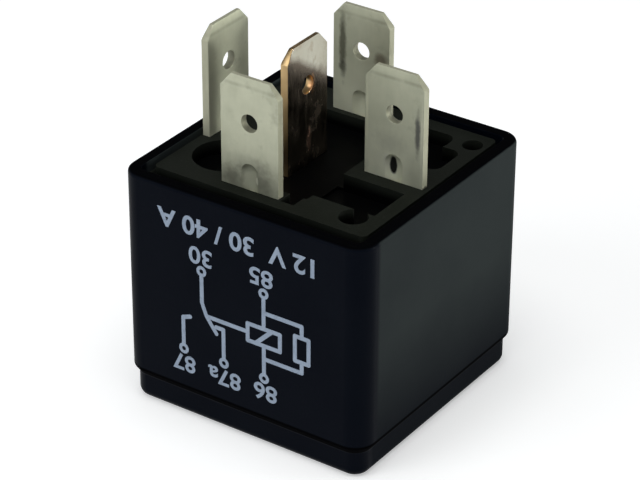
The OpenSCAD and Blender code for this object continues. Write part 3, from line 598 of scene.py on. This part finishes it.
def copperWire(name):
    look = copperLooks[name]
    shared = copperSurface
    material, tree, target = newMaterial(name, {"Metallic": 1.0, "Coat Weight": look["coat"],
                                                "Coat Roughness": shared["coatRough"]})
    stretch = (shared["sideStretch"], shared["sideStretch"], look["turns"])
    wound = useGroup(tree, drawnStreaks, {"Stretch": stretch, "Scale": shared["streakScale"]})["Streak"]
    cloudy = useGroup(tree, grain, shared["clouds"])
    body = mixColour(tree, wound, look["bright"], look["dark"])
    body = mixColour(tree, times(tree, cloudy["Cloud"], shared["cloudMix"]), body, look["dark"])
    tree.links.new(body, target["Base Color"])
    tree.links.new(between(tree, wound, *shared["rough"]), target["Roughness"])
    raiseBump(tree, target, cloudy["Height"], shared["height"])
    return material


resistorLook = {
    "coat": colour(0.20, 0.30, 0.38), "shaded": colour(0.17, 0.26, 0.34), "lacquer": 0.4,
    "lacquerRough": 0.15, "rough": (0.34, 0.46), "grain": {"Scale": 2.0, "Cloud scale": 0.5},
    "grainHeight": 0.00002, "bandWidth": 0.55, "bandSoft": 0.06,
    "bands": [(-2.0, colour(0.02, 0.06, 0.30)), (-0.9, colour(0.16, 0.16, 0.17)),
              (0.2, colour(0.10, 0.035, 0.012)), (1.9, colour(0.42, 0.28, 0.08))],
}


def resistorCoat():
    # lacquered body with its painted value bands across Y
    look = resistorLook
    half = look["bandWidth"] / 2
    material, tree, target = newMaterial("resistorCoat", {"Coat Weight": look["lacquer"],
                                                          "Coat Roughness": look["lacquerRough"]})
    moulded = useGroup(tree, grain, look["grain"])
    along = axes(tree, placeInMm(tree))["Y"]
    body = mixColour(tree, moulded["Cloud"], look["coat"], look["shaded"])
    for place, paint in look["bands"]:
        away = calc(tree, "ABSOLUTE", calc(tree, "SUBTRACT", along, place))
        body = mixColour(tree, spread(tree, away, half, half - look["bandSoft"]), body, paint)
    tree.links.new(body, target["Base Color"])
    tree.links.new(between(tree, moulded["Cloud"], *look["rough"]), target["Roughness"])
    raiseBump(tree, target, moulded["Height"], look["grainHeight"])
    return material


inkLook = {
    "body": colour(0.345, 0.415, 0.52), "shaded": colour(0.295, 0.36, 0.46), "specular": 0.3,
    "thin": colour(0.17, 0.215, 0.29), "thinMix": 0.35, "patches": {"Scale": 1.6, "Cover": 0.5},
    "grain": {"Scale": 5.0, "Cloud scale": 0.6}, "grainHeight": 0.00001,
    "roughBy": (0.3, 0.7, 0.5, 0.62),  # from grain height to roughness
}


def whiteInk():
    # pad-printed ink: a little thin in places, so that its tone isn't even
    look = inkLook
    material, tree, target = newMaterial("whiteInk", {"Specular IOR Level": look["specular"]})
    moulded = useGroup(tree, grain, look["grain"])
    thin = useGroup(tree, dullPatches, look["patches"])["Mask"]
    body = mixColour(tree, moulded["Cloud"], look["body"], look["shaded"])
    body = mixColour(tree, times(tree, thin, look["thinMix"]), body, look["thin"])
    tree.links.new(body, target["Base Color"])
    tree.links.new(spread(tree, moulded["Height"], *look["roughBy"]), target["Roughness"])
    raiseBump(tree, target, moulded["Height"], look["grainHeight"])
    return material


alongX = (1.0, 0.0, 0.0)
alongY = (0.0, 1.0, 0.0)
looks = {
    "case": casePlastic(),
    "plate": platePlastic(),
    "tinnedAcross": bladeMetal("tinnedAcross", tinnedLook, alongY),
    "tinnedAlong": bladeMetal("tinnedAlong", tinnedLook, alongX),
    "bareAlong": bladeMetal("bareAlong", bareLook, alongX),
    "silver": stripMetal("contactSilver"),
    "bronze": stripMetal("springBronze"),
    "steel": stripMetal("zincPlatedSteel"),
    "bobbin": bobbinNylon(),
    "enamelled": copperWire("enamelledCopper"),
    "braid": copperWire("braidCopper"),
    "resistor": resistorCoat(),
    "tinnedWire": stripMetal("tinnedWire"),
    "springSteel": stripMetal("drawnSpringSteel"),
    "ink": whiteInk(),
}
print("materials made:", len(looks))


# Carried-over nodes: each gets its material, and those with a rounding given get a small real rounding of
# their sharp edges

nodeFinish = {
    # node: (look, edge rounding in mm, segments)
    "case": ("case", 0.10, 2), "base_plate": ("plate", 0.12, 2),
    "terminal_30": ("tinnedAcross", 0.07, 2), "terminal_85": ("tinnedAcross", 0.07, 2),
    "terminal_86": ("tinnedAcross", 0.07, 2), "terminal_87": ("tinnedAlong", 0.07, 2),
    "terminal_87a": ("bareAlong", 0.07, 2),
    "make_contact": ("silver", 0.10, 3), "break_contact": ("silver", 0.10, 3),
    "moving_contact": ("silver", 0.10, 3), "contact_spring": ("bronze", 0.04, 1),
    "spring_rivets": ("steel", 0.12, 3), "armature": ("steel", 0.10, 2), "yoke": ("steel", 0.12, 2),
    "core": ("steel", 0.12, 2), "bobbin": ("bobbin", 0.10, 2), "coil_winding": ("enamelled", 0, 0),
    "coil_lead_start": ("enamelled", 0, 0), "coil_lead_end": ("enamelled", 0, 0),
    "resistor_body": ("resistor", 0.45, 4), "resistor_leads": ("tinnedWire", 0, 0),
    "wiring_print": ("ink", 0, 0), "return_spring": ("springSteel", 0, 0), "braid": ("braid", 0, 0),
}
# weld distance in mm; angles in degrees: faces this flat become one, and edges this sharp are rounded
edgeLimits = {"weld": 0.001, "flat": 0.4, "sharp": 32}


def finishNode(name, look, rounding, segments):
    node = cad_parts[name]
    node.data.materials.clear()
    node.data.materials.append(looks[look])
    weld = node.modifiers.new("weld", "WELD")
    weld.merge_threshold = edgeLimits["weld"] * mm
    if rounding:
        planes = node.modifiers.new("planes", "DECIMATE")
        planes.decimate_type = "DISSOLVE"
        planes.angle_limit = math.radians(edgeLimits["flat"])
        edges = node.modifiers.new("edges", "BEVEL")
        edges.width = rounding * mm
        edges.segments = segments
        edges.limit_method = "ANGLE"
        edges.angle_limit = math.radians(edgeLimits["sharp"])
        edges.use_clamp_overlap = True
        edges.loop_slide = False  # keeps the rounding even where a flat face has edges of its own
        shade = node.modifiers.new("shade", "WEIGHTED_NORMAL")
        shade.keep_sharp = False


for nodeName, finish in nodeFinish.items():
    finishNode(nodeName, *finish)
print("nodes finished:", len(nodeFinish))


# Swept wires

def smoothCurve(points, steps):
    # a curve through all the points, with that many steps from each to the next
    points = [Vector(p) for p in points]
    curve = []
    for i in range(len(points) - 1):
        before = points[max(i - 1, 0)]
        start = points[i]
        end = points[i + 1]
        after = points[min(i + 2, len(points) - 1)]
        for k in range(steps):
            t = k / steps
            curve.append(0.5 * (2 * start + (end - before) * t
                                + (2 * before - 5 * start + 4 * end - after) * t * t
                                + (3 * start - before - 3 * end + after) * t * t * t))
    return curve + [points[-1]]


def framesAlong(path):
    # direction, side and cross side at each point, carried on without a twist
    side = None
    for i in range(len(path)):
        heading = (path[min(i + 1, len(path) - 1)] - path[max(i - 1, 0)]).normalized()
        if side is None:
            side = heading.orthogonal()
        side = (side - heading * side.dot(heading)).normalized()
        yield heading, side, heading.cross(side)


def sweep(verts, faces, path, radius, sides):
    # adds a round wire with closed ends to the lists
    start = len(verts)
    for point, (heading, side, cross) in zip(path, framesAlong(path)):
        for k in range(sides):
            turn = 2 * math.pi * k / sides
            verts.append(point + radius * (math.cos(turn) * side + math.sin(turn) * cross))
    for i in range(len(path) - 1):
        for k in range(sides):
            a = start + i * sides + k
            b = start + i * sides + (k + 1) % sides
            faces.append((a, b, b + sides, a + sides))
    faces.append([start + k for k in range(sides - 1, -1, -1)])
    faces.append([start + (len(path) - 1) * sides + k for k in range(sides)])


def newPiece(name, verts, faces, look):
    mesh = bpy.data.meshes.new(name)
    mesh.from_pydata([Vector(v) * mm for v in verts], [], faces)
    mesh.polygons.foreach_set("use_smooth", [True] * len(mesh.polygons))
    mesh.materials.append(looks[look])
    piece = bpy.data.objects.new(name, mesh)
    bpy.context.collection.objects.link(piece)
    return piece


def bendBetween(piece):
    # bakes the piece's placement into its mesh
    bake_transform(piece)


# lengths in mm; the hooks hold the armature's tail and the yoke's lug
springSizes = {"diameter": 1.5, "wire": 0.3, "turns": 12, "pitch": 0.42, "hookLead": 0.12, "shift": 0.2,
               "hookOut": 0.35, "clear": 0.45, "earLength": 0.8, "lugThickness": 0.8,
               "armatureThickness": 1.3, "stepsPerTurn": 28, "hookSteps": 12, "sides": 10}


def springHook(size, x, z, far, up):
    # half a turn from the coil's side to its middle, then straight to the far height and out
    quarter = size["diameter"] / 4
    arc = []
    for step in range(size["hookSteps"] + 1):
        turn = math.pi * step / size["hookSteps"]
        arc.append((x + quarter * (1 + math.cos(turn)), 0,
                    z + up * (size["hookLead"] + quarter * math.sin(turn))))
    outer = x + size["shift"] + size["hookOut"]
    return arc + [(x, 0, far - up * size["hookLead"]), (x + size["shift"], 0, far), (outer, 0, far)]


def springCoil(size, x, low):
    radius = size["diameter"] / 2
    coil = []
    for i in range(size["turns"] * size["stepsPerTurn"] + 1):
        turn = 2 * math.pi * i / size["stepsPerTurn"]
        height = low + i * size["pitch"] / size["stepsPerTurn"]
        coil.append((x + radius * math.cos(turn), radius * math.sin(turn), height))
    return coil


def returnSpring():
    size = springSizes
    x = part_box("yoke")[1].x / mm - size["earLength"]
    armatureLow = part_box("return_spring")[0].z / mm + size["wire"] + size["shift"]
    hookHeight = size["hookLead"] + size["diameter"] / 4 + size["wire"] / 2
    low = armatureLow + size["armatureThickness"] + size["clear"] + hookHeight
    high = low + size["turns"] * size["pitch"]
    lugTop = high + hookHeight + size["clear"] + size["lugThickness"]
    stand = size["wire"] / 2 + size["shift"]
    lowHook = springHook(size, x, low, armatureLow - stand, -1)
    path = lowHook[::-1] + springCoil(size, x, low) + springHook(size, x, high, lugTop + stand, 1)
    verts = []
    faces = []
    sweep(verts, faces, [Vector(p) for p in path], size["wire"] / 2, size["sides"])
    spring = newPiece("returnSpringWire", verts, faces, "springSteel")
    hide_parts("return_spring")
    bendBetween(spring)


braidSizes = {
    # the route's points, from the yoke's prong down and round to the contact spring, in mm
    "route": [(9.1, 8.1, 8.85), (9.1, 8.1, 6.32), (8.55, 7.99, 4.14), (7.34, 6.67, 3.42),
              (4.7, 4.44, 3.09), (0.8, 3.45, 3.09), (-2.03, 2.79, 3.25), (-3.46, 2.57, 3.47),
              (-5.0, 2.57, 3.47)],
    "radius": 0.42, "strand": 0.085, "lift": 0.035, "strandsEachWay": 8, "lay": 3.6,
    "sides": 6, "coreSides": 12, "routeSteps": 16, "strandSteps": 2,
}


def lengthsAlong(line):
    lengths = [0.0]
    for last, point in zip(line, line[1:]):
        lengths.append(lengths[-1] + (point - last).length)
    return lengths


def strandPath(size, line, lengths, way, k):
    count = size["strandsEachWay"]
    path = []
    for point, length, (heading, side, cross) in zip(line, lengths, framesAlong(line)):
        wound = 2 * math.pi * length / size["lay"]
        turn = way * wound + 2 * math.pi * k / count
        weave = way * math.cos(count * wound + math.pi * k)
        reach = size["radius"] + size["lift"] * weave
        path.append(point + reach * (math.cos(turn) * side + math.sin(turn) * cross))
    return smoothCurve(path, size["strandSteps"])


def braidStrands():
    # strands wound both ways, each going over and under those that it crosses, round a plain core
    size = braidSizes
    line = smoothCurve(size["route"], size["routeSteps"])
    lengths = lengthsAlong(line)
    verts = []
    faces = []
    for way in (-1, 1):
        for k in range(size["strandsEachWay"]):
            sweep(verts, faces, strandPath(size, line, lengths, way, k), size["strand"], size["sides"])
    sweep(verts, faces, line, size["radius"] - size["strand"], size["coreSides"])
    braid = newPiece("braidStrands", verts, faces, "braid")
    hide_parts("braid")
    bendBetween(braid)


returnSpring()
braidStrands()
print("spring and braid wound")


# Printed words and digits on the front face, upside down as the relay stands

printSizes = {
    "thickness": 0.04, "curveSteps": 5, "drawnThickness": 0.02,
    # words: (centre x, centre z, width, height), in mm on the face
    "digits": {"30": (-4.3, 18.2, 2.6, 1.8), "85": (2.5, 18.3, 2.6, 1.8), "86": (2.9, 6.2, 2.6, 1.8),
               "87a": (-1.75, 6.1, 3.7, 1.8), "87": (-6.4, 6.1, 2.6, 1.8)},
    "rating": ("12 V  30 / 40 A", (-0.4, 21.1, 17.4, 1.95)),
    # how much the letters' strokes are thickened
    "digitBold": 0.018, "ratingBold": 0.022,
}


def drawnLetters(name, words, bold):
    curve = bpy.data.curves.new(name, "FONT")
    curve.body = words
    curve.offset = bold
    curve.align_x = "CENTER"
    curve.align_y = "CENTER"
    curve.resolution_u = printSizes["curveSteps"]
    curve.extrude = printSizes["drawnThickness"]
    drawn = bpy.data.objects.new(name + "Curve", curve)
    bpy.context.collection.objects.link(drawn)
    mesh = bpy.data.meshes.new_from_object(drawn.evaluated_get(bpy.context.evaluated_depsgraph_get()))
    bpy.data.objects.remove(drawn)
    return mesh


def printWords(name, words, place, bold):
    x, z, width, height = place
    mesh = drawnLetters(name, words, bold)
    low = Vector([min(v.co[i] for v in mesh.vertices) for i in range(3)])
    high = Vector([max(v.co[i] for v in mesh.vertices) for i in range(3)])
    middle = (low + high) / 2
    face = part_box("case")[0].y
    for v in mesh.vertices:
        across = (v.co.x - middle.x) / (high.x - low.x) * width
        upward = (v.co.y - middle.y) / (high.y - low.y) * height
        out = (v.co.z - low.z) / (high.z - low.z) * printSizes["thickness"]
        v.co = Vector(((x - across) * mm, face - out * mm, (z - upward) * mm))
    mesh.materials.clear()
    mesh.materials.append(looks["ink"])
    piece = bpy.data.objects.new(name, mesh)
    bpy.context.collection.objects.link(piece)
    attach(piece, "frame")


bpy.context.view_layer.update()
for digits, place in printSizes["digits"].items():
    printWords("print" + digits, digits, place, printSizes["digitBold"])
printWords("printRating", *printSizes["rating"], printSizes["ratingBold"])
print("print laid on the face")


# Floor, background, lamps and camera

stageSizes = {
    # lengths in m: the floor starts to turn plain white at the first distance
    "floorRadius": 1.6, "floorSides": 96, "floorDrop": 0.00002, "plainDistance": (0.10, 0.34),
    "floorWhite": 0.80, "floorLift": 0.39,
    # how steeply a direction points up, and how bright the room is there
    "skyHeights": (0.10, 0.36), "skyLevels": (1.0, 0.05),
    "worldFill": 0.34, "fillColour": colour(0.92, 0.96, 1.0),
}


def showsBackground(tree):
    # rays that see the background itself: from the camera, a mirror or glass
    path = addNode(tree, "ShaderNodeLightPath").outputs
    seen = calc(tree, "MAXIMUM", path["Is Camera Ray"], path["Is Glossy Ray"])
    return calc(tree, "MAXIMUM", seen, path["Is Transmission Ray"])


def floorMaterial():
    material = bpy.data.materials.new("paleFloor")
    material.use_nodes = True
    tree = material.node_tree
    tree.nodes.clear()
    white = stageSizes["floorWhite"]
    diffuse = addNode(tree, "ShaderNodeBsdfDiffuse", {"Color": colour(white, white, white)}).outputs[0]
    lift = addNode(tree, "ShaderNodeEmission", {"Strength": stageSizes["floorLift"]}).outputs[0]
    lifted = addNode(tree, "ShaderNodeAddShader", {0: diffuse, 1: lift}).outputs[0]
    # plain white away from the object, so that no horizon shows
    away = vectorMath(tree, "LENGTH", addNode(tree, "ShaderNodeTexCoord").outputs["Object"])["Value"]
    far = spread(tree, away, *stageSizes["plainDistance"])
    plainLit = addNode(tree, "ShaderNodeEmission", {"Strength": 1.0}).outputs[0]
    seen = addNode(tree, "ShaderNodeMixShader", {0: far, 1: lifted, 2: plainLit}).outputs[0]
    shader = addNode(tree, "ShaderNodeMixShader", {0: showsBackground(tree), 1: diffuse, 2: seen})
    addNode(tree, "ShaderNodeOutputMaterial", {0: shader.outputs[0]})
    return material


def makeFloor():
    radius = stageSizes["floorRadius"]
    sides = stageSizes["floorSides"]
    turns = [math.tau * k / sides for k in range(sides)]
    rim = [(radius * math.cos(turn), radius * math.sin(turn), -stageSizes["floorDrop"]) for turn in turns]
    mesh = bpy.data.meshes.new("floor")
    mesh.from_pydata(rim, [], [list(range(sides))])
    mesh.materials.append(floorMaterial())
    floor = bpy.data.objects.new("floor", mesh)
    bpy.context.collection.objects.link(floor)


def makeWorld():
    # white at the horizon and dark overhead, as for a white table in a dim room
    world = bpy.data.worlds.new("room")
    world.use_nodes = True
    bpy.context.scene.world = world
    tree = world.node_tree
    tree.nodes.clear()
    height = axes(tree, addNode(tree, "ShaderNodeTexCoord").outputs["Generated"])["Z"]
    level = spread(tree, height, *stageSizes["skyHeights"], *stageSizes["skyLevels"])
    backdrop = addNode(tree, "ShaderNodeBackground", {"Color": colour(1, 1, 1), "Strength": level})
    fill = addNode(tree, "ShaderNodeBackground", {"Color": stageSizes["fillColour"],
                                                  "Strength": stageSizes["worldFill"]})
    shader = addNode(tree, "ShaderNodeMixShader", {0: showsBackground(tree), 1: fill.outputs[0],
                                                   2: backdrop.outputs[0]})
    addNode(tree, "ShaderNodeOutputWorld", {0: shader.outputs[0]})


lamps = {
    # name: (place in m, aim in m, size in m, beam in degrees, power in W, colour)
    "sideSoftbox": ((0.40, 0.24, 0.19), (0.0, 0.0, 0.135), 0.26, 10, 0.06, (0.98, 1.0, 0.96)),
    "frontSoftbox": ((-0.22, -0.46, 0.34), (0.0, 0.0, 0.014), 0.36, 180, 0.9, (0.94, 0.97, 1.0)),
    "topSoftbox": ((0.04, -0.10, 0.62), (0.0, 0.0, 0.014), 0.46, 180, 1.8, (1.0, 1.0, 0.98)),
}


def makeLamps():
    for name, (place, aim, size, beam, power, tint) in lamps.items():
        lamp = bpy.data.lights.new(name, "AREA")
        lamp.shape = "DISK"
        lamp.size = size
        lamp.spread = math.radians(beam)
        lamp.energy = power
        lamp.color = tint
        holder = bpy.data.objects.new(name, lamp)
        holder.location = place
        holder.rotation_euler = (Vector(aim) - Vector(place)).to_track_quat("-Z", "Y").to_euler()
        bpy.context.collection.objects.link(holder)


# place and lens in mm, angles in radians: yaw from +Y towards +X, and pitch down from level
cameraView = {"place": (129.90, -189.39, 146.79), "yaw": -0.6111, "pitch": 0.5229,
              "lens": 158.49, "shiftX": 0.0322, "shiftY": 0.0089, "nearest": 10, "farthest": 10000}


def makeCamera():
    view = cameraView
    forward = Vector((math.cos(view["pitch"]) * math.sin(view["yaw"]),
                      math.cos(view["pitch"]) * math.cos(view["yaw"]), -math.sin(view["pitch"])))
    right = Vector((math.cos(view["yaw"]), -math.sin(view["yaw"]), 0))
    up = right.cross(forward)
    turn = Matrix((right, up, -forward)).transposed().to_4x4()
    camera = bpy.data.cameras.new("camera")
    camera.lens = view["lens"]
    camera.shift_x = view["shiftX"]
    camera.shift_y = view["shiftY"]
    camera.clip_start = view["nearest"] * mm
    camera.clip_end = view["farthest"] * mm
    holder = bpy.data.objects.new("camera", camera)
    holder.matrix_world = Matrix.Translation(Vector(view["place"]) * mm) @ turn
    bpy.context.collection.objects.link(holder)
    bpy.context.scene.camera = holder


makeFloor()
makeWorld()
makeLamps()
makeCamera()
bpy.context.scene.view_settings.view_transform = "Standard"
print("stage set")
